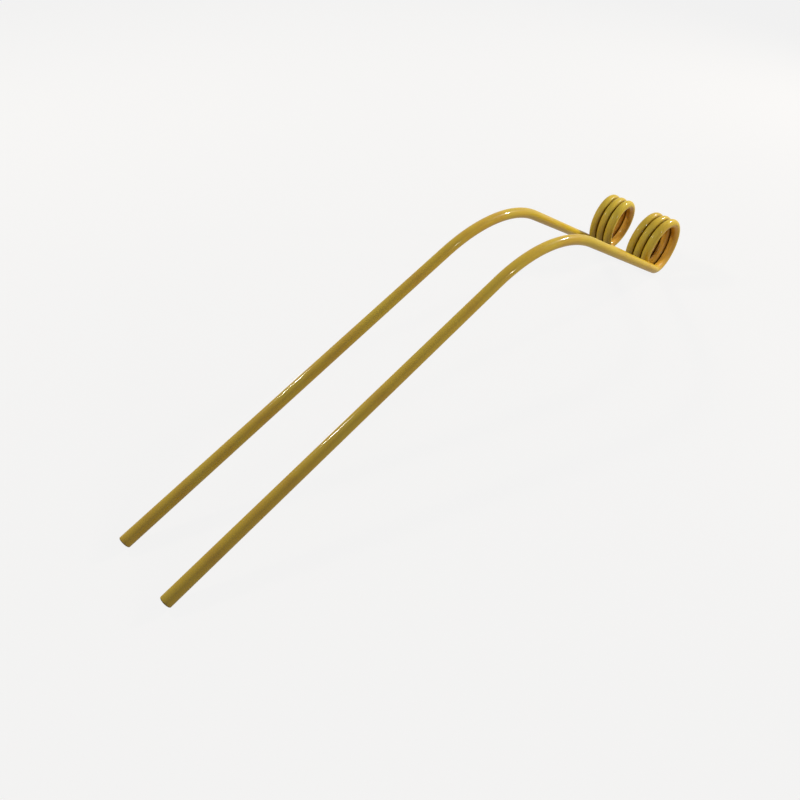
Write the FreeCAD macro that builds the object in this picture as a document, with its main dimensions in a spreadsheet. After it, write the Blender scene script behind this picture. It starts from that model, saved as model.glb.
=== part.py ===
import FreeCAD
import Part
import Sketcher
import math
import os

from FreeCAD import Placement, Rotation, Vector

# Double-coil hay rake tine, bent from one length of round spring wire. Millimetres.
#
# The wire is drawn in the frame in which it is bent: the coil axis lies along Y with the origin midway
# between the two coils, X runs from the coils towards the elbows along the shanks, and Z points from the
# plane of the shanks to the coil axis. The two halves mirror each other across Y = 0. At the end the part
# is turned about the coil axis into the attitude in which it lies on a floor, with Z up.

DRIVING_SIZES = {
    # round spring wire
    "wire_diameter": 9.5,
    # coils: radius of the wire's centre line, rise of a turn, and full turns in each coil
    "coil_radius": 26.5,
    "turn_pitch": 9.6,
    "turn_count": 3,
    # the hairpin that joins the coils and takes the fixing bolt: radius of its centre line
    "hairpin_radius": 14.0,
    # gentle side bend by which a shank leaves the lean of its coil
    "lead_radius": 200.0,
    # coil axis to the point where the lines of shank and leg meet, and from that point to the cut end
    "shank_reach": 240.0,
    "leg_reach": 395.0,
    # centre line to centre line of the two parallel legs
    "leg_spacing": 58.0,
    # elbow: turn seen from the side, and radius of the wire's centre line
    "elbow_angle": 50.0,
    "elbow_radius": 155.0,
    # rounding of the sawn edge at the free ends
    "tip_rounding": 0.8,
}


def add_sheet(doc):
    """The driving dimensions, one named cell each."""
    sheet = doc.addObject("Spreadsheet::Sheet", "sizes")
    for row, (name, value) in enumerate(DRIVING_SIZES.items(), start=1):
        sheet.set(f"A{row}", name)
        sheet.set(f"B{row}", str(value))
        sheet.setAlias(f"B{row}", name)
    doc.recompute()
    return sheet


def lean_of_coil(sheet):
    """Angle between a turn's wire and the plane square to the coil axis."""
    return math.atan2(sheet.turn_pitch, 2 * math.pi * sheet.coil_radius)


def add_coil_line(doc, sheet):
    """Centre line of the coil on the +Y side, from its inner end at the bottom to its outer end."""
    coil = doc.addObject("Part::Helix", "coil_line")
    coil.LocalCoord = "Left-handed"
    coil.setExpression("Radius", "sizes.coil_radius")
    coil.setExpression("Pitch", "sizes.turn_pitch")
    coil.setExpression("Height", "sizes.turn_pitch * sizes.turn_count")
    axes = Rotation(Vector(0, 0, -1), Vector(-1, 0, 0), Vector(0, 1, 0), "ZXY")
    inner_end = sheet.hairpin_radius * math.cos(lean_of_coil(sheet))
    coil.Placement = Placement(Vector(0, inner_end, 0), axes)
    return coil


def arc_through(start, middle, end):
    """Circular edge through three points."""
    return Part.Arc(start, middle, end).toShape()


def hairpin_line(sheet):
    """Quarter of the bend between the coils, from the plane of symmetry to the coil's inner end."""
    lean = lean_of_coil(sheet)
    radius = sheet.hairpin_radius
    centre = Vector(radius * math.sin(lean), 0, -sheet.coil_radius)

    def point(heading):
        return centre + Vector(-math.sin(heading), math.cos(heading), 0) * radius

    crown = math.pi / 2
    return arc_through(point(crown), point((crown + lean) / 2), point(lean))


def lead_line(sheet, corner, outer_end):
    """Side bend from the lean of the coil to the line that runs through the elbow's corner.

    Returns the edge, its far end and the direction there.
    """
    lean = lean_of_coil(sheet)
    radius = sheet.lead_radius
    centre = outer_end + Vector(math.sin(lean), -math.cos(lean), 0) * radius
    sight = corner - centre
    heading = math.atan2(sight.y, sight.x) - math.asin(radius / sight.Length)

    def point(angle):
        return centre + Vector(-math.sin(angle), math.cos(angle), 0) * radius

    edge = arc_through(outer_end, point((lean + heading) / 2), point(heading))
    return edge, point(heading), Vector(math.cos(heading), math.sin(heading), 0)


def leg_direction(sheet):
    """Direction of a leg from its elbow to its cut end."""
    turn = math.radians(sheet.elbow_angle)
    return Vector(math.cos(turn), 0, -math.sin(turn))


def elbow_corner(sheet):
    """Point where the lines of shank and leg meet on the +Y side."""
    return Vector(sheet.shank_reach, sheet.leg_spacing / 2, -sheet.coil_radius)


def leg_end(sheet):
    """Centre of the cut end on the +Y side."""
    return elbow_corner(sheet) + leg_direction(sheet) * sheet.leg_reach


def leg_lines(sheet, start, along_shank):
    """Straight shank, elbow and straight leg."""
    corner = elbow_corner(sheet)
    along_leg = leg_direction(sheet)
    half_turn = along_shank.getAngle(along_leg) / 2
    setback = sheet.elbow_radius * math.tan(half_turn)
    bend_start = corner - along_shank * setback
    bend_end = corner + along_leg * setback
    inward = (along_leg - along_shank).normalize()
    bend_middle = corner + inward * (sheet.elbow_radius / math.cos(half_turn) - sheet.elbow_radius)
    return [
        Part.LineSegment(start, bend_start).toShape(),
        arc_through(bend_start, bend_middle, bend_end),
        Part.LineSegment(bend_end, leg_end(sheet)).toShape(),
    ]


def add_centre_line(doc, sheet, coil):
    """The wire's centre line on the +Y side, from the plane of symmetry to the cut end."""
    outer_end = Vector(
        0, coil.Placement.Base.y + sheet.turn_pitch * sheet.turn_count, -sheet.coil_radius
    )
    lead, lead_end, along_shank = lead_line(sheet, elbow_corner(sheet), outer_end)
    edges = [hairpin_line(sheet)] + coil.Shape.Edges + [lead] + leg_lines(sheet, lead_end, along_shank)
    line = doc.addObject("Part::Feature", "centre_line")
    line.Shape = Part.Wire(edges)
    return line


def origin_plane(body, role):
    """One of the body's own origin planes."""
    for feature in body.Origin.OriginFeatures:
        if feature.Role == role:
            return feature
    raise ValueError(role)


def add_section(body, sheet):
    """Round section of the wire where it crosses the plane of symmetry."""
    sketch = body.newObject("Sketcher::SketchObject", "wire_section")
    sketch.AttachmentSupport = [(origin_plane(body, "XZ_Plane"), "")]
    sketch.MapMode = "FlatFace"
    across = sheet.hairpin_radius * (1 - math.sin(lean_of_coil(sheet)))
    down = sheet.coil_radius
    size = sheet.wire_diameter
    circle = sketch.addGeometry(Part.Circle(Vector(-across, -down, 0), Vector(0, 0, 1), size / 2))
    centre = (circle, 3)
    root = (-1, 1)
    across_row = sketch.addConstraint(Sketcher.Constraint("DistanceX", *centre, *root, across))
    down_row = sketch.addConstraint(Sketcher.Constraint("DistanceY", *centre, *root, down))
    size_row = sketch.addConstraint(Sketcher.Constraint("Diameter", circle, size))
    lean = "atan(sizes.turn_pitch / (2 * pi * sizes.coil_radius))"
    sketch.setExpression(f"Constraints[{across_row}]", f"sizes.hairpin_radius * (1 - sin({lean}))")
    sketch.setExpression(f"Constraints[{down_row}]", "sizes.coil_radius")
    sketch.setExpression(f"Constraints[{size_row}]", "sizes.wire_diameter")
    return sketch


def cut_edges(shape, sheet):
    """Names of the two sawn edges at the free ends."""
    end = leg_end(sheet)
    ends = (end, Vector(end.x, -end.y, end.z))
    names = []
    for number, edge in enumerate(shape.Edges, start=1):
        closed = edge.isClosed() and isinstance(edge.Curve, Part.Circle)
        if closed and any(edge.Curve.Center.isEqual(point, 0.01) for point in ends):
            names.append(f"Edge{number}")
    return names


def add_tine(doc, sheet, line):
    """The wire as a solid: one half swept along the centre line, mirrored, its sawn edges eased."""
    body = doc.addObject("PartDesign::Body", "tine")
    body.Label = "tine"
    section = add_section(body, sheet)
    half = body.newObject("PartDesign::AdditivePipe", "half_wire")
    half.Profile = section
    half.Spine = (line, [f"Edge{number}" for number in range(1, len(line.Shape.Edges) + 1)])
    half.Mode = "Standard"
    doc.recompute()
    mirrored = body.newObject("PartDesign::Mirrored", "both_halves")
    mirrored.Originals = [half]
    mirrored.MirrorPlane = (origin_plane(body, "XZ_Plane"), [""])
    body.Tip = mirrored
    doc.recompute()
    eased = body.newObject("PartDesign::Fillet", "eased_ends")
    eased.Base = (mirrored, cut_edges(mirrored.Shape, sheet))
    eased.setExpression("Radius", "min(sizes.tip_rounding; sizes.wire_diameter * 0.4)")
    body.Tip = eased
    doc.recompute()
    return body


def rest_placement(sheet, rounding):
    """Attitude in which the tine lies on a floor: on the crown of the hairpin and on both cut ends.

    Seen from the side the floor is the line that touches two circles from below: the wire's section at
    the crown of the hairpin, and the rounding of the sawn edge. The origin goes to the floor, midway
    along the length that the part takes up on it.
    """
    wire_radius = sheet.wire_diameter / 2
    crown = Vector(sheet.hairpin_radius * (math.sin(lean_of_coil(sheet)) - 1), 0, -sheet.coil_radius)
    along_leg = leg_direction(sheet)
    over_leg = Vector(-along_leg.z, 0, along_leg.x)
    cut_centre = leg_end(sheet) - along_leg * rounding
    lower_edge = cut_centre - over_leg * (wire_radius - rounding)
    upper_edge = cut_centre + over_leg * (wire_radius - rounding)
    span = lower_edge - crown
    tilt = math.atan2(-span.z, span.x) - math.asin((wire_radius - rounding) / math.hypot(span.x, span.z))
    turn = Rotation(Vector(0, 1, 0), -math.degrees(tilt))
    lift = wire_radius - turn.multVec(crown).z
    rear = -(sheet.coil_radius + wire_radius)
    front = turn.multVec(upper_edge).x + rounding
    return Placement(Vector(-(rear + front) / 2, 0, lift), turn)


def checked(doc):
    """Stops the build where a feature is broken."""
    for feature in doc.Objects:
        if {"Invalid", "Error"} & set(feature.State):
            raise RuntimeError(f"{feature.Name}: {feature.State}")
        shape = getattr(feature, "Shape", None)
        if shape is not None and feature.isDerivedFrom("Part::Feature"):
            if shape.isNull() or not shape.isValid():
                raise RuntimeError(f"{feature.Name}: the shape is not valid")


def main():
    os.makedirs("parts", exist_ok=True)
    doc = FreeCAD.newDocument("hay_rake_tine")
    sheet = add_sheet(doc)
    coil = add_coil_line(doc, sheet)
    doc.recompute()
    line = add_centre_line(doc, sheet, coil)
    tine = add_tine(doc, sheet, line)
    tine.Placement = rest_placement(sheet, tine.Tip.Radius.Value)
    doc.recompute()
    checked(doc)
    tine.Shape.exportStep("parts/tine.step")


main()
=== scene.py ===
"""Double-coil hay rake tine of painted spring wire, on a plain pale floor.

The wire is one tube carried along its centre line. Its sizes and its finish are written in millimetres and
become metres where they meet the mesh and the material. The floor, the lamps and the camera's place are in
metres. The wire's own frame has its origin midway between the two coils: X along the shanks, Y along the
coils' axis, Z from the plane of the shanks to that axis.
"""

import logging
import math
from dataclasses import dataclass, field
from enum import Enum
from typing import Any, NamedTuple

import bpy
import numpy as np
from mathutils import Matrix, Vector


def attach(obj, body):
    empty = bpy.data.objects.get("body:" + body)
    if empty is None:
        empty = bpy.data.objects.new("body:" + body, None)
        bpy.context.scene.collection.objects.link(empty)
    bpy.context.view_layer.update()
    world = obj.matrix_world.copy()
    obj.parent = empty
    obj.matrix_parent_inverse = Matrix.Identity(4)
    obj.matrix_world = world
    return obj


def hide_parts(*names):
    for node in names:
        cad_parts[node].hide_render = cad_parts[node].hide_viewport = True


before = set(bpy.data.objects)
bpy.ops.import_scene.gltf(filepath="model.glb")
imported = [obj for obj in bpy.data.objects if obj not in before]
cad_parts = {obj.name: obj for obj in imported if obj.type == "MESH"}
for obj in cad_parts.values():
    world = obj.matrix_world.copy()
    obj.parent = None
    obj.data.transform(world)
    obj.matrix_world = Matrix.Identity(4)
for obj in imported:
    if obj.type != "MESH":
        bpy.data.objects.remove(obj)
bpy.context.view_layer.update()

LOG = logging.getLogger("hay_rake_tine")
MM = 0.001
WHITE = (1.0, 1.0, 1.0, 1.0)


class Run(NamedTuple):
    """A stretch of the centre line, sampled at its stations."""

    points: np.ndarray
    tangents: np.ndarray
    normals: np.ndarray
    crowding: np.ndarray
    coiled: np.ndarray


def unit(vector: np.ndarray) -> np.ndarray:
    """The vector, or each row of an array of vectors, at length one."""
    return vector / np.linalg.norm(vector, axis=-1, keepdims=True)


def linear(hex_colour: str) -> tuple[float, float, float, float]:
    """Turns an sRGB colour into the linear values that a shader takes, by the curve of the sRGB standard.

    Args:
        hex_colour: six hexadecimal digits, with or without a leading hash sign.

    Returns:
        Linear red, green and blue, and an alpha of one.
    """
    digits = hex_colour.lstrip("#")
    srgb = np.array([int(digits[place : place + 2], 16) for place in (0, 2, 4)]) / 255
    low, high = srgb / 12.92, ((srgb + 0.055) / 1.055) ** 2.4
    red, green, blue = np.where(srgb <= 0.04045, low, high)
    return float(red), float(green), float(blue), 1.0


def add_node(
    tree: bpy.types.NodeTree,
    kind: str,
    links: dict[str | int, Any] | None = None,
    **settings: Any,
) -> bpy.types.Node:
    """Adds a shader node with its settings, values and links.

    Args:
        tree: the node tree that takes the node.
        kind: the node's type, as Blender names it.
        links: for each input, by name or number, an output socket to link or a plain value.
        settings: properties of the node itself.

    Returns:
        The new node.
    """
    node = tree.nodes.new(kind)
    for name, value in settings.items():
        setattr(node, name, value)
    for name, value in (links or {}).items():
        if isinstance(value, bpy.types.NodeSocket):
            tree.links.new(value, node.inputs[name])
        else:
            node.inputs[name].default_value = value
    return node


class Sight(Enum):
    """Rays to which the background shows as near white, as Blender names them."""

    CAMERA = "Is Camera Ray"
    GLOSSY = "Is Glossy Ray"
    TRANSMISSION = "Is Transmission Ray"


def add_sight(tree: bpy.types.NodeTree) -> bpy.types.NodeSocket:
    """Adds nodes that tell rays of sight, which are one here, from rays that carry light, which are nought.

    Args:
        tree: the node tree of the floor's material or of the world.

    Returns:
        The output that holds the answer.
    """
    rays = add_node(tree, "ShaderNodeLightPath")
    answer = rays.outputs[Sight.CAMERA.value]
    for sight in (Sight.GLOSSY, Sight.TRANSMISSION):
        links = {0: answer, 1: rays.outputs[sight.value]}
        answer = add_node(tree, "ShaderNodeMath", links, operation="MAXIMUM").outputs["Value"]
    return answer


@dataclass(frozen=True)
class SprayedEnamel:
    """Yellow gloss enamel, sprayed on spring wire and baked.

    The film is smooth and opaque, so the eye sees small hard glints over an even, almost flat ochre. It has
    run a little thick in some places and thin in others, which gives faint clouds. Painted shade makes it
    brown in the grooves between the turns, painted warm bounce light and shade tint it inside the coils, and
    painted shade darkens the rounded edges of the sawn ends in patches.
    """

    body_tone: str = "#BE9F2B"
    thick_tone: str = "#BCA22E"
    thin_tone: str = "#B8952A"
    # painted warm bounce light and shade inside the coils
    inside_bounce_tone: str = "#C2902F"
    # painted shade: brown in the grooves between the turns
    groove_shade_tone: str = "#6E4A16"
    # painted shade: darker patches along the rounded edges of the cut ends
    edge_shade_tone: str = "#6B5222"
    refraction: float = 1.5
    sheen_level: float = 0.03
    sheen_roughness: float = 0.38
    gloss_weight: float = 0.17
    # higher than the enamel's own 1.5, so that a glint narrower than a pixel still shows in the render
    gloss_refraction: float = 1.9
    gloss_roughness: float = 0.07
    # clouds: size of one, finer patterns in it, and the values at which paint counts as thin and as thick
    cloud_mm: float = 26.0
    cloud_detail: float = 3.0
    thin_below: float = 0.34
    thick_above: float = 0.66
    # how far roughness strays from its middle, and the cloud values between which it does
    roughness_spread: float = 0.05
    roughness_from: float = 0.3
    roughness_to: float = 0.7
    orange_peel_mm: float = 1.6
    orange_peel_depth_mm: float = 0.012
    orange_peel_detail: float = 1.0
    orange_peel_strength: float = 0.6
    # dust specks, taken to be about 0.2 mm across, are drawn coarser so that they show in the render
    speck_mm: float = 0.7
    speck_detail: float = 2.0
    speck_contrast: float = 0.05

    def material(self) -> bpy.types.Material:
        """Builds the enamel, on Object coordinates and the wire's own attributes.

        Returns:
            The material.
        """
        material = bpy.data.materials.new("sprayed_yellow_enamel")
        material.use_nodes = True
        tree = material.node_tree
        tree.nodes.clear()
        clouds = self.noise(tree, self.cloud_mm, self.cloud_detail)
        shader = add_node(
            tree,
            "ShaderNodeBsdfPrincipled",
            {
                "Base Color": self.colour(tree, clouds),
                "Roughness": self.sheen(tree, clouds),
                "Normal": self.orange_peel(tree),
                "Metallic": 0.0,
                "IOR": self.refraction,
                "Specular IOR Level": self.sheen_level,
                "Coat Weight": self.gloss_weight,
                "Coat Roughness": self.gloss_roughness,
                "Coat IOR": self.gloss_refraction,
            },
        )
        add_node(tree, "ShaderNodeOutputMaterial", {"Surface": shader.outputs["BSDF"]})
        return material

    def noise(self, tree: bpy.types.NodeTree, size_mm: float, detail: float) -> bpy.types.NodeSocket:
        """Cloudy pattern on the wire's own coordinates.

        Args:
            tree: the material's node tree.
            size_mm: size of one patch, in millimetres.
            detail: how many finer patterns lie in it.

        Returns:
            The pattern, from nought to one.
        """
        place = add_node(tree, "ShaderNodeTexCoord").outputs["Object"]
        links = {"Vector": place, "Scale": 1 / (size_mm * MM), "Detail": detail}
        return add_node(tree, "ShaderNodeTexNoise", links).outputs["Fac"]

    def blend(self, tree: bpy.types.NodeTree, share: Any, under: Any, tone: str) -> bpy.types.NodeSocket:
        """Lays a tone over a colour.

        Args:
            tree: the material's node tree.
            share: output that says how much of the tone shows, from nought to one.
            under: output with the colour below.
            tone: the tone, in hexadecimal digits.

        Returns:
            The blended colour.
        """
        # the node has inputs and outputs for every kind of value, and those for colours go by number
        links = {"Factor": share, 6: under, 7: linear(tone)}
        return add_node(tree, "ShaderNodeMix", links, data_type="RGBA").outputs[2]

    def colour(self, tree: bpy.types.NodeTree, clouds: bpy.types.NodeSocket) -> bpy.types.NodeSocket:
        """Colour of the film: clouds of thin and thick paint with fine specks, then painted shade and bounce
        light.

        Args:
            tree: the material's node tree.
            clouds: where the film is thin and where it is thick.

        Returns:
            The colour.
        """
        film = add_node(tree, "ShaderNodeValToRGB", {"Fac": clouds})
        thin, thick = film.color_ramp.elements
        thin.position, thick.position = self.thin_below, self.thick_above
        thin.color, thick.color = linear(self.thin_tone), linear(self.thick_tone)
        middle = (self.thin_below + self.thick_above) / 2
        film.color_ramp.elements.new(middle).color = linear(self.body_tone)
        pattern = self.noise(tree, self.speck_mm, self.speck_detail)
        darkest, lightest = 1 - self.speck_contrast, 1 + self.speck_contrast
        specks = {"Value": pattern, "To Min": darkest, "To Max": lightest}
        fine = add_node(tree, "ShaderNodeMapRange", specks).outputs["Result"]
        links = {0: film.outputs["Color"], 1: fine}
        toned = add_node(tree, "ShaderNodeVectorMath", links, operation="MULTIPLY").outputs["Vector"]
        inside_bounce = add_node(tree, "ShaderNodeAttribute", attribute_name="inside_bounce").outputs["Fac"]
        groove_shade = add_node(tree, "ShaderNodeAttribute", attribute_name="groove_shade").outputs["Fac"]
        edge = add_node(tree, "ShaderNodeAttribute", attribute_name="sawn_edge").outputs["Fac"]
        # painted shade in patches along the rounded edges of the cut ends
        edge_shaded = add_node(tree, "ShaderNodeMath", {0: edge, 1: clouds}, operation="MULTIPLY").outputs["Value"]
        # painted warm bounce light and shade inside the coils
        inner = self.blend(tree, inside_bounce, toned, self.inside_bounce_tone)
        # painted shade in the grooves between the turns
        groove_shaded = self.blend(tree, groove_shade, inner, self.groove_shade_tone)
        return self.blend(tree, edge_shaded, groove_shaded, self.edge_shade_tone)

    def sheen(self, tree: bpy.types.NodeTree, clouds: bpy.types.NodeSocket) -> bpy.types.NodeSocket:
        """Roughness of the film, which is a little smoother where the paint is thin.

        Args:
            tree: the material's node tree.
            clouds: where the film is thin and where it is thick.

        Returns:
            The roughness.
        """
        links = {
            "Value": clouds,
            "From Min": self.roughness_from,
            "From Max": self.roughness_to,
            "To Min": self.sheen_roughness - self.roughness_spread,
            "To Max": self.sheen_roughness + self.roughness_spread,
        }
        return add_node(tree, "ShaderNodeMapRange", links).outputs["Result"]

    def orange_peel(self, tree: bpy.types.NodeTree) -> bpy.types.NodeSocket:
        """Fine waves of a sprayed film, which break the glints up a little.

        Args:
            tree: the material's node tree.

        Returns:
            The direction in which the waved surface faces.
        """
        waves = self.noise(tree, self.orange_peel_mm, self.orange_peel_detail)
        depth = self.orange_peel_depth_mm * MM
        links = {"Height": waves, "Distance": depth, "Strength": self.orange_peel_strength}
        return add_node(tree, "ShaderNodeBump", links).outputs["Normal"]


@dataclass(frozen=True)
class MattPaper:
    """Pale photographer's background paper: flat, matt and near white."""

    tone: str = "#A69A8A"
    roughness: float = 0.9
    seen_white: float = 0.87

    def material(self) -> bpy.types.Material:
        """Builds the paper, lifted towards white where it is seen, directly or in a reflection.

        Returns:
            The material.
        """
        material = bpy.data.materials.new("background_paper")
        material.use_nodes = True
        tree = material.node_tree
        tree.nodes.clear()
        finish = {"Color": linear(self.tone), "Roughness": self.roughness}
        paper = add_node(tree, "ShaderNodeBsdfDiffuse", finish)
        white = add_node(tree, "ShaderNodeEmission", {"Color": WHITE, "Strength": 1.0})
        lifted = {0: add_sight(tree), 1: self.seen_white}
        share = add_node(tree, "ShaderNodeMath", lifted, operation="MULTIPLY")
        links = {0: share.outputs["Value"], 1: paper.outputs["BSDF"], 2: white.outputs["Emission"]}
        mixed = add_node(tree, "ShaderNodeMixShader", links)
        add_node(tree, "ShaderNodeOutputMaterial", {"Surface": mixed.outputs["Shader"]})
        return material


@dataclass(frozen=True)
class CentreLine:
    """Centre line of the wire, with the sizes of the solid model, in millimetres and degrees.

    The stations are how finely each stretch is sampled. The fades are lengths of wire, in turns, over which
    a neighbouring turn's painted shade sets in, and over which the painted bounce light and shade inside a
    coil fades out at its ends.
    """

    wire_diameter: float = 9.5
    coil_radius: float = 26.5
    turn_pitch: float = 9.6
    turn_count: float = 3.0
    hairpin_radius: float = 14.0
    lead_radius: float = 200.0
    shank_reach: float = 240.0
    leg_reach: float = 395.0
    leg_spacing: float = 58.0
    elbow_angle: float = 50.0
    elbow_radius: float = 155.0
    tip_rounding: float = 0.8
    hairpin_stations: int = 26
    turn_stations: int = 120
    lead_stations: int = 14
    shank_stations: int = 60
    elbow_stations: int = 90
    leg_stations: int = 150
    neighbour_fade: float = 0.04
    coil_fade: float = 0.08

    @property
    def wire_radius(self) -> float:
        """Half the wire's diameter."""
        return self.wire_diameter / 2

    @property
    def lean(self) -> float:
        """Angle between a turn's wire and the plane square to the coil's axis, in radians."""
        return math.atan2(self.turn_pitch, 2 * math.pi * self.coil_radius)

    @property
    def corner(self) -> np.ndarray:
        """Point where the lines of shank and leg meet."""
        return np.array([self.shank_reach, self.leg_spacing / 2, -self.coil_radius])

    @property
    def along_leg(self) -> np.ndarray:
        """Direction of the leg towards its cut end."""
        turn = math.radians(self.elbow_angle)
        return np.array([math.cos(turn), 0.0, -math.sin(turn)])

    def arc(
        self, centre: np.ndarray, out: np.ndarray, ahead: np.ndarray, sweep: float, count: int, tilt: float
    ) -> Run:
        """Circular stretch: centre plus radius times (out times cosine plus ahead times sine).

        Args:
            centre: centre of the circle.
            out: vector from the centre to the start, as long as the radius.
            ahead: unit vector along the wire at the start.
            sweep: angle turned through, in radians.
            count: number of stations.
            tilt: angle from the outward direction to the section's reference direction, in radians.

        Returns:
            The stations, with a reference direction that turns with the arc.
        """
        angle = np.linspace(0.0, sweep, count)[:, None]
        radius = np.linalg.norm(out)
        first = out / radius
        outward = first * np.cos(angle) + ahead * np.sin(angle)
        tangents = ahead * np.cos(angle) - first * np.sin(angle)
        side = np.cross(tangents, outward)
        normals = outward * math.cos(tilt) + side * math.sin(tilt)
        return Run(centre + outward * radius, tangents, normals, np.zeros((count, 2)), np.zeros(count))

    def straight(self, start: np.ndarray, end: np.ndarray, normal: np.ndarray, count: int) -> Run:
        """Straight stretch: start plus a share of the way to the end, with one reference direction.

        Args:
            start: where it starts.
            end: where it ends.
            normal: the section's reference direction.
            count: number of stations.

        Returns:
            The stations.
        """
        share = np.linspace(0.0, 1.0, count)[:, None]
        level = 0 * share
        ahead = unit(end - start)
        points = start + (end - start) * share
        return Run(points, ahead + level, normal + level, np.zeros((count, 2)), np.zeros(count))

    def hairpin(self) -> Run:
        """Quarter of the bend that joins the coils, from the plane of symmetry to the coil's inner end.

        Returns:
            The stations.
        """
        radius = self.hairpin_radius
        centre = np.array([radius * math.sin(self.lean), 0.0, -self.coil_radius])
        crown = np.array([-radius, 0.0, 0.0])
        sideways = np.array([0.0, 1.0, 0.0])
        sweep = math.pi / 2 - self.lean
        return self.arc(centre, crown, sideways, sweep, self.hairpin_stations, -math.pi / 2)

    def coil(self) -> Run:
        """Close-wound turns: a circle in X and Z whose place on Y grows evenly with the angle.

        Returns:
            The stations. Crowding is one where a turn lies against this one, towards -Y and towards +Y, and
            nought where none does. Coiled is one on the turns and fades to nought at the coil's ends.
        """
        inner = self.hairpin_radius * math.cos(self.lean)
        count = int(self.turn_stations * self.turn_count)
        angle = np.linspace(0.0, 2 * math.pi * self.turn_count, count)
        rise = self.turn_pitch / (2 * math.pi)
        radius = self.coil_radius
        sine, cosine = np.sin(angle), np.cos(angle)
        points = np.stack([radius * sine, inner + rise * angle, -radius * cosine], axis=1)
        tangents = unit(np.stack([radius * cosine, rise + 0 * angle, radius * sine], axis=1))
        normals = np.stack([-sine, 0 * angle, cosine], axis=1)
        turns = angle / (2 * math.pi)
        below = np.clip((turns - 1) / self.neighbour_fade + 1, 0, 1)
        above = np.clip((self.turn_count - 1 - turns) / self.neighbour_fade + 1, 0, 1)
        coiled = np.clip(np.minimum(turns, self.turn_count - turns) / self.coil_fade, 0, 1)
        return Run(points, tangents, normals, np.stack([below, above], axis=1), coiled)

    def shank_and_leg(self) -> list[Run]:
        """Side bend off the coil, straight shank, elbow and straight leg, each tangent to the one before.

        Returns:
            The four stretches, in that order.
        """
        up = np.array([0.0, 0.0, 1.0])
        outer = self.hairpin_radius * math.cos(self.lean) + self.turn_pitch * self.turn_count
        start = np.array([0.0, outer, -self.coil_radius])
        heading = np.array([math.cos(self.lean), math.sin(self.lean), 0.0])
        to_right = np.array([math.sin(self.lean), -math.cos(self.lean), 0.0])
        centre = start + to_right * self.lead_radius
        sight = self.corner - centre
        final = math.atan2(sight[1], sight[0]) - math.asin(self.lead_radius / math.hypot(sight[0], sight[1]))
        sweep = self.lean - final
        lead = self.arc(centre, start - centre, heading, sweep, self.lead_stations, math.pi / 2)
        along = np.array([math.cos(final), math.sin(final), 0.0])
        half_turn = math.acos(float(along @ self.along_leg)) / 2
        setback = self.elbow_radius * math.tan(half_turn)
        bend_start = self.corner - along * setback
        inward = unit(self.along_leg - along)
        bend_centre = self.corner + inward * self.elbow_radius / math.cos(half_turn)
        out = bend_start - bend_centre
        tilt = math.atan2(float(np.cross(along, unit(out)) @ up), float(unit(out) @ up))
        shank = self.straight(lead.points[-1], bend_start, up, self.shank_stations)
        elbow = self.arc(bend_centre, out, along, 2 * half_turn, self.elbow_stations, tilt)
        end = self.corner + self.along_leg * (self.leg_reach - self.tip_rounding)
        leg = self.straight(elbow.points[-1], end, elbow.normals[-1], self.leg_stations)
        return [lead, shank, elbow, leg]

    def half(self) -> Run:
        """The +Y half from the plane of symmetry to the cut end, without doubled stations.

        Returns:
            The stations.
        """
        *first, last = [self.hairpin(), self.coil(), *self.shank_and_leg()]
        shortened = [Run(*(part[:-1] for part in run)) for run in first]
        return Run(*(np.concatenate(parts) for parts in zip(*shortened, last)))

    def rest(self) -> tuple[np.ndarray, np.ndarray]:
        """Attitude on the floor: the hairpin's crown and both cut ends touch it.

        The floor is the common tangent, from below, of two circles seen from the side: the wire's section at
        the crown and the rounding of the cut end's edge.

        Returns:
            The rotation, as a matrix for points in rows, and the shift that follows it, in millimetres.
        """
        soft = self.tip_rounding
        crown = np.array([self.hairpin_radius * (math.sin(self.lean) - 1), 0.0, -self.coil_radius])
        over = np.array([-self.along_leg[2], 0.0, self.along_leg[0]])
        cut = self.corner * [1, 0, 1] + self.along_leg * (self.leg_reach - soft)
        lower, upper = cut - over * (self.wire_radius - soft), cut + over * (self.wire_radius - soft)
        span = lower - crown
        difference = math.asin((self.wire_radius - soft) / math.hypot(span[0], span[2]))
        tilt = math.atan2(-span[2], span[0]) - difference
        sine, cosine = math.sin(tilt), math.cos(tilt)
        turn = np.array([[cosine, 0.0, sine], [0.0, 1.0, 0.0], [-sine, 0.0, cosine]])
        rear = -(self.coil_radius + self.wire_radius)
        front = (upper @ turn)[0] + soft
        return turn, np.array([-(rear + front) / 2, 0.0, self.wire_radius - (crown @ turn)[2]])


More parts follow.
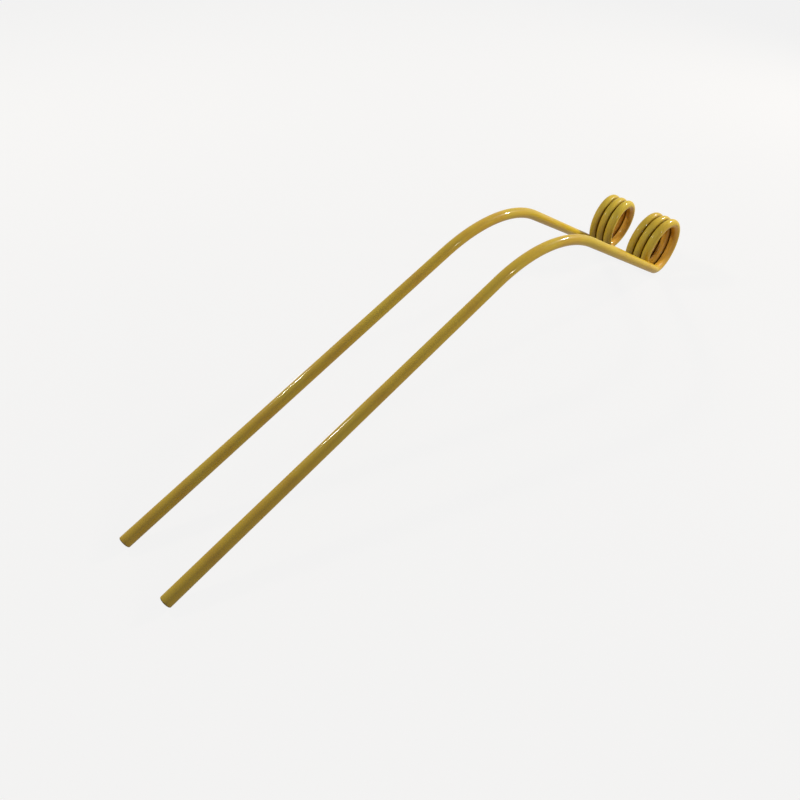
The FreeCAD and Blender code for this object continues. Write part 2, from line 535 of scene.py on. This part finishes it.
@dataclass
class Tine:
    """The tine: one round wire swept along its centre line, with eased cut ends, painted all over.

    A place on the wire takes painted shade where it faces a neighbouring turn, measured as the share of its
    outward direction that runs along the coil's axis, and painted warm bounce light and shade where it
    faces the coil's middle.
    """

    line: CentreLine = field(default_factory=CentreLine)
    finish: SprayedEnamel = field(default_factory=SprayedEnamel)
    around: int = 48
    end_steps: int = 7
    face_rings: int = 5
    innermost_ring_mm: float = 0.25
    # where and how steeply the painted shade between turns sets in
    groove_shade_from: float = 0.62
    groove_shade_range: float = 0.36
    groove_shade_power: float = 1.5
    # where the painted bounce light and shade inside the coils sets in, and over what range
    inside_bounce_lead: float = 0.1
    inside_bounce_range: float = 0.7

    def whole_line(self) -> Run:
        """Both halves as one line, from the cut end at -Y to the cut end at +Y.

        The -Y half is the +Y half with Y reversed, run backwards, so its tangents change sign but for Y.

        Returns:
            The stations.
        """
        half = self.line.half()
        flip = np.array([1.0, -1.0, 1.0])
        mirrored = Run(
            (half.points * flip)[:0:-1],
            (-half.tangents * flip)[:0:-1],
            (half.normals * flip)[:0:-1],
            half.crowding[:0:-1, ::-1],
            half.coiled[:0:-1],
        )
        return Run(*(np.concatenate([there, here]) for there, here in zip(mirrored, half)))

    def closing_profile(self) -> tuple[np.ndarray, np.ndarray]:
        """Profile of a cut end: a quarter circle from the wire's side to its face, then the flat face.

        Returns:
            How far each ring lies beyond the last full section, and its radius, in millimetres.
        """
        soft, radius = self.line.tip_rounding, self.line.wire_radius
        angle = np.linspace(0.0, math.pi / 2, self.end_steps)[1:]
        ahead = np.concatenate([soft * np.sin(angle), np.full(self.face_rings, soft)])
        inner = np.linspace(radius - soft, self.innermost_ring_mm, self.face_rings + 1)[1:]
        return ahead, np.concatenate([radius - soft + soft * np.cos(angle), inner])

    def stations(self) -> tuple[Run, np.ndarray, np.ndarray]:
        """The whole line with the rings of both cut ends added.

        Returns:
            The stations, the radius of each ring, and how much of the sawn edge each ring shows, from nought
            to one.
        """
        run = self.whole_line()
        ahead, radii = self.closing_profile()
        rings = len(ahead)
        tail = run.points[-1] + run.tangents[-1] * ahead[:, None]
        head = (run.points[0] - run.tangents[0] * ahead[:, None])[::-1]
        points = np.concatenate([head, run.points, tail])
        repeats = np.ones(len(run.points), dtype=int)
        repeats[[0, -1]] += rings
        spread = [np.repeat(part, repeats, axis=0) for part in run[1:]]
        radius = np.concatenate([radii[::-1], np.full(len(run.points), self.line.wire_radius), radii])
        rounding = np.where(np.arange(rings) < self.end_steps, 1.0, 0.0)
        edge = np.concatenate([rounding[::-1], np.zeros(len(run.points)), rounding])
        return Run(points, *spread), radius, edge

    def surface(self) -> tuple[np.ndarray, dict[str, np.ndarray]]:
        """Tube surface: centre point plus radius times (normal times cosine plus side times sine).

        Returns:
            The points as rings of vertices, and for each vertex, from nought to one, how much painted shade
            it takes between turns, how much painted warm bounce light and shade it takes inside a coil, and
            how much of a sawn edge it is, which sets painted shade at the cut ends.
        """
        run, radius, edge = self.stations()
        angle = np.linspace(0.0, 2 * math.pi, self.around, endpoint=False)[None, :, None]
        side = np.cross(run.tangents, run.normals)[:, None, :]
        outward = run.normals[:, None, :] * np.cos(angle) + side * np.sin(angle)
        points = run.points[:, None, :] + outward * radius[:, None, None]
        # painted shade where a place faces a neighbouring turn
        towards = outward[:, :, 1]
        nearness = np.where(towards < 0, run.crowding[:, :1], run.crowding[:, 1:])
        facing = np.clip((np.abs(towards) - self.groove_shade_from) / self.groove_shade_range, 0.0, 1.0)
        groove_shade = nearness * facing**self.groove_shade_power
        # painted warm bounce light and shade where a place faces the coil's middle
        inward = run.coiled[:, None] * np.cos(angle[:, :, 0])
        inside_bounce = np.clip((inward + self.inside_bounce_lead) / self.inside_bounce_range, 0.0, 1.0)
        return points, {"groove_shade": groove_shade, "inside_bounce": inside_bounce, "sawn_edge": edge[:, None] + 0 * groove_shade}

    def faces(self, rings: int) -> list[tuple[int, ...]]:
        """Quadrilaterals between neighbouring rings, and a fan to a point at each cut face.

        Args:
            rings: number of rings. The two points come after their vertices.

        Returns:
            For each face, the numbers of its vertices.
        """
        ring = np.arange(rings - 1)[:, None] * self.around
        spoke = np.arange(self.around)[None, :]
        following = (spoke + 1) % self.around
        above = ring + self.around
        quads = np.stack([ring + spoke, ring + following, above + following, above + spoke], axis=-1)
        first, last = rings * self.around, rings * self.around + 1
        end = (rings - 1) * self.around
        near = np.stack([spoke[0] * 0 + first, following[0], spoke[0]], axis=-1)
        far = np.stack([spoke[0] * 0 + last, end + spoke[0], end + following[0]], axis=-1)
        return [tuple(face) for face in [*quads.reshape(-1, 4).tolist(), *near.tolist(), *far.tolist()]]

    def build(self) -> bpy.types.Object:
        """Makes the painted wire, in place in the part's frame.

        Returns:
            The wire's object, at the origin, with its place in its mesh.
        """
        rings, light_and_shade_masks = self.surface()
        poles = np.stack([rings[0].mean(axis=0), rings[-1].mean(axis=0)])
        turn, shift = self.line.rest()
        points = (np.concatenate([rings.reshape(-1, 3), poles]) @ turn + shift) * MM
        mesh = bpy.data.meshes.new("painted_wire")
        mesh.from_pydata(points.tolist(), [], self.faces(len(rings)))
        mesh.polygons.foreach_set("use_smooth", np.ones(len(mesh.polygons), dtype=bool))
        # masks of painted light and shade, carried on the mesh as attributes
        for name, values in light_and_shade_masks.items():
            layer = mesh.attributes.new(name, "FLOAT", "POINT")
            unshaded = np.zeros(len(poles))
            layer.data.foreach_set("value", np.concatenate([values.ravel(), unshaded]).astype(np.float32))
        mesh.materials.append(self.finish.material())
        mesh.update()
        wire = bpy.data.objects.new("painted_wire", mesh)
        bpy.context.scene.collection.objects.link(wire)
        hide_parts("tine")
        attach(wire, "root")
        LOG.info("%s: %d vertices, %d faces", wire.name, len(mesh.vertices), len(mesh.polygons))
        return wire


@dataclass(frozen=True)
class SoftLamp:
    """A square studio lamp, with or without a small bare bulb at its middle.

    It hangs in a direction and at a distance from the point that it lights. The wide screen gives the soft
    shading, and the bulb gives the small hard glint on gloss paint. Distances and widths are in metres.
    """

    name: str
    direction: tuple[float, float, float]
    distance: float
    watts: float
    width: float
    bulb_watts: float = 0.0
    bulb_width: float = 0.1
    tone: str = "#FFFFFF"
    # how far the bulb hangs in front of its screen
    bulb_gap: float = 0.02

    def hang(
        self, name: str, target: Vector, distance: float, width: float, watts: float
    ) -> bpy.types.Object:
        """Hangs one square light on the lamp's line and turns it to the target.

        Args:
            name: name of the light.
            target: point that the lamp lights, in metres.
            distance: from the target, in metres.
            width: side of the square, in metres.
            watts: its power.

        Returns:
            The light's object.
        """
        light = bpy.data.lights.new(name, "AREA")
        light.shape = "SQUARE"
        light.size = width
        light.energy = watts
        light.color = linear(self.tone)[:3]
        lamp = bpy.data.objects.new(name, light)
        heading = Vector(self.direction).normalized()
        lamp.location = target + heading * distance
        lamp.rotation_euler = heading.to_track_quat("Z", "Y").to_euler()
        lamp.visible_camera = False
        bpy.context.scene.collection.objects.link(lamp)
        LOG.info("%s: %.2f W", lamp.name, watts)
        return lamp

    def build(self, target: Vector) -> None:
        """Hangs the screen and, just in front of it, the bulb if there is one.

        Args:
            target: point that the lamp lights, in metres.
        """
        screen = self.hang(f"{self.name}_screen", target, self.distance, self.width, self.watts)
        screen.visible_glossy = False
        if self.bulb_watts > 0:
            distance = self.distance - self.bulb_gap
            self.hang(f"{self.name}_bulb", target, distance, self.bulb_width, self.bulb_watts)


@dataclass(frozen=True)
class Viewpoint:
    """Camera of the reference view: where it stands, where it looks and how it leans. Metres and degrees."""

    place: tuple[float, float, float] = (0.33041, 0.26255, 0.37765)
    aim: tuple[float, float, float] = (0.06269, 0.01465, 0.05)
    roll: float = 3.5573
    focal_mm: float = 26.965
    sensor_mm: float = 36.0
    shift: tuple[float, float] = (-0.03961, -0.04843)
    # nothing nearer to the camera than this is drawn
    nearest: float = 0.01

    def build(self) -> bpy.types.Object:
        """Sets up the camera and makes it the scene's own.

        Returns:
            The camera's object.
        """
        optics = bpy.data.cameras.new("viewpoint")
        optics.sensor_width = self.sensor_mm
        optics.lens = self.focal_mm
        optics.shift_x, optics.shift_y = self.shift
        optics.clip_start = self.nearest
        camera = bpy.data.objects.new("viewpoint", optics)
        sight = (Vector(self.aim) - Vector(self.place)).to_track_quat("-Z", "Y").to_matrix()
        lean = Matrix.Rotation(math.radians(self.roll), 3, "Z")
        camera.matrix_world = Matrix.Translation(self.place) @ (sight @ lean).to_4x4()
        bpy.context.scene.collection.objects.link(camera)
        bpy.context.scene.camera = camera
        return camera


@dataclass
class Studio:
    """Pale floor, plain soft light and the camera."""

    paper: MattPaper = field(default_factory=MattPaper)
    floor_width: float = 14.0
    target: tuple[float, float, float] = (-0.15, 0.0, 0.08)
    sky_strength: float = 0.13
    lamps: tuple[SoftLamp, ...] = (
        SoftLamp(
            "key_lamp",
            direction=(-0.864, 0.21, 0.457),
            distance=1.2,
            watts=5.2,
            width=0.5,
            bulb_watts=12.0,
            bulb_width=0.105,
        ),
        SoftLamp(
            "side_lamp",
            direction=(-0.27, 0.884, 0.382),
            distance=0.8,
            watts=0.15,
            width=0.4,
            bulb_watts=1.0,
            bulb_width=0.053,
        ),
        SoftLamp(
            "back_lamp",
            direction=(0.37, -0.698, 0.613),
            distance=1.25,
            watts=3.4,
            width=0.5,
            bulb_watts=6.5,
            bulb_width=0.095,
        ),
        SoftLamp("fill_lamp", direction=(0.0, 0.99, 0.1), distance=0.4, watts=0.3, width=0.25),
    )
    viewpoint: Viewpoint = field(default_factory=Viewpoint)

    def build_floor(self) -> bpy.types.Object:
        """Lays the paper level with the part's lowest points.

        Returns:
            The floor's object.
        """
        half = self.floor_width / 2
        corners = np.array([[-1, -1], [1, -1], [1, 1], [-1, 1]]) * half
        mesh = bpy.data.meshes.new("floor")
        mesh.from_pydata(np.column_stack([corners, np.zeros(4)]).tolist(), [], [(0, 1, 2, 3)])
        mesh.materials.append(self.paper.material())
        floor = bpy.data.objects.new("floor", mesh)
        bpy.context.scene.collection.objects.link(floor)
        return floor

    def build_sky(self) -> None:
        """Even pale light from all round, which the camera and reflections see as plain white."""
        world = bpy.data.worlds.new("studio_walls")
        world.use_nodes = True
        tree = world.node_tree
        tree.nodes.clear()
        levels = {"Value": add_sight(tree), "To Min": self.sky_strength, "To Max": 1.0}
        strength = add_node(tree, "ShaderNodeMapRange", levels).outputs["Result"]
        light = add_node(tree, "ShaderNodeBackground", {"Color": WHITE, "Strength": strength})
        add_node(tree, "ShaderNodeOutputWorld", {"Surface": light.outputs["Background"]})
        bpy.context.scene.world = world

    def build(self) -> None:
        """Builds the floor, the light and the camera."""
        self.build_floor()
        self.build_sky()
        for lamp in self.lamps:
            lamp.build(Vector(self.target))
        self.viewpoint.build()
        bpy.context.scene.view_settings.view_transform = "Standard"


def main() -> None:
    """Builds the tine and its studio."""
    logging.basicConfig(level=logging.INFO, format="%(name)s: %(message)s")
    Tine().build()
    Studio().build()


if __name__ == "__main__":
    main()
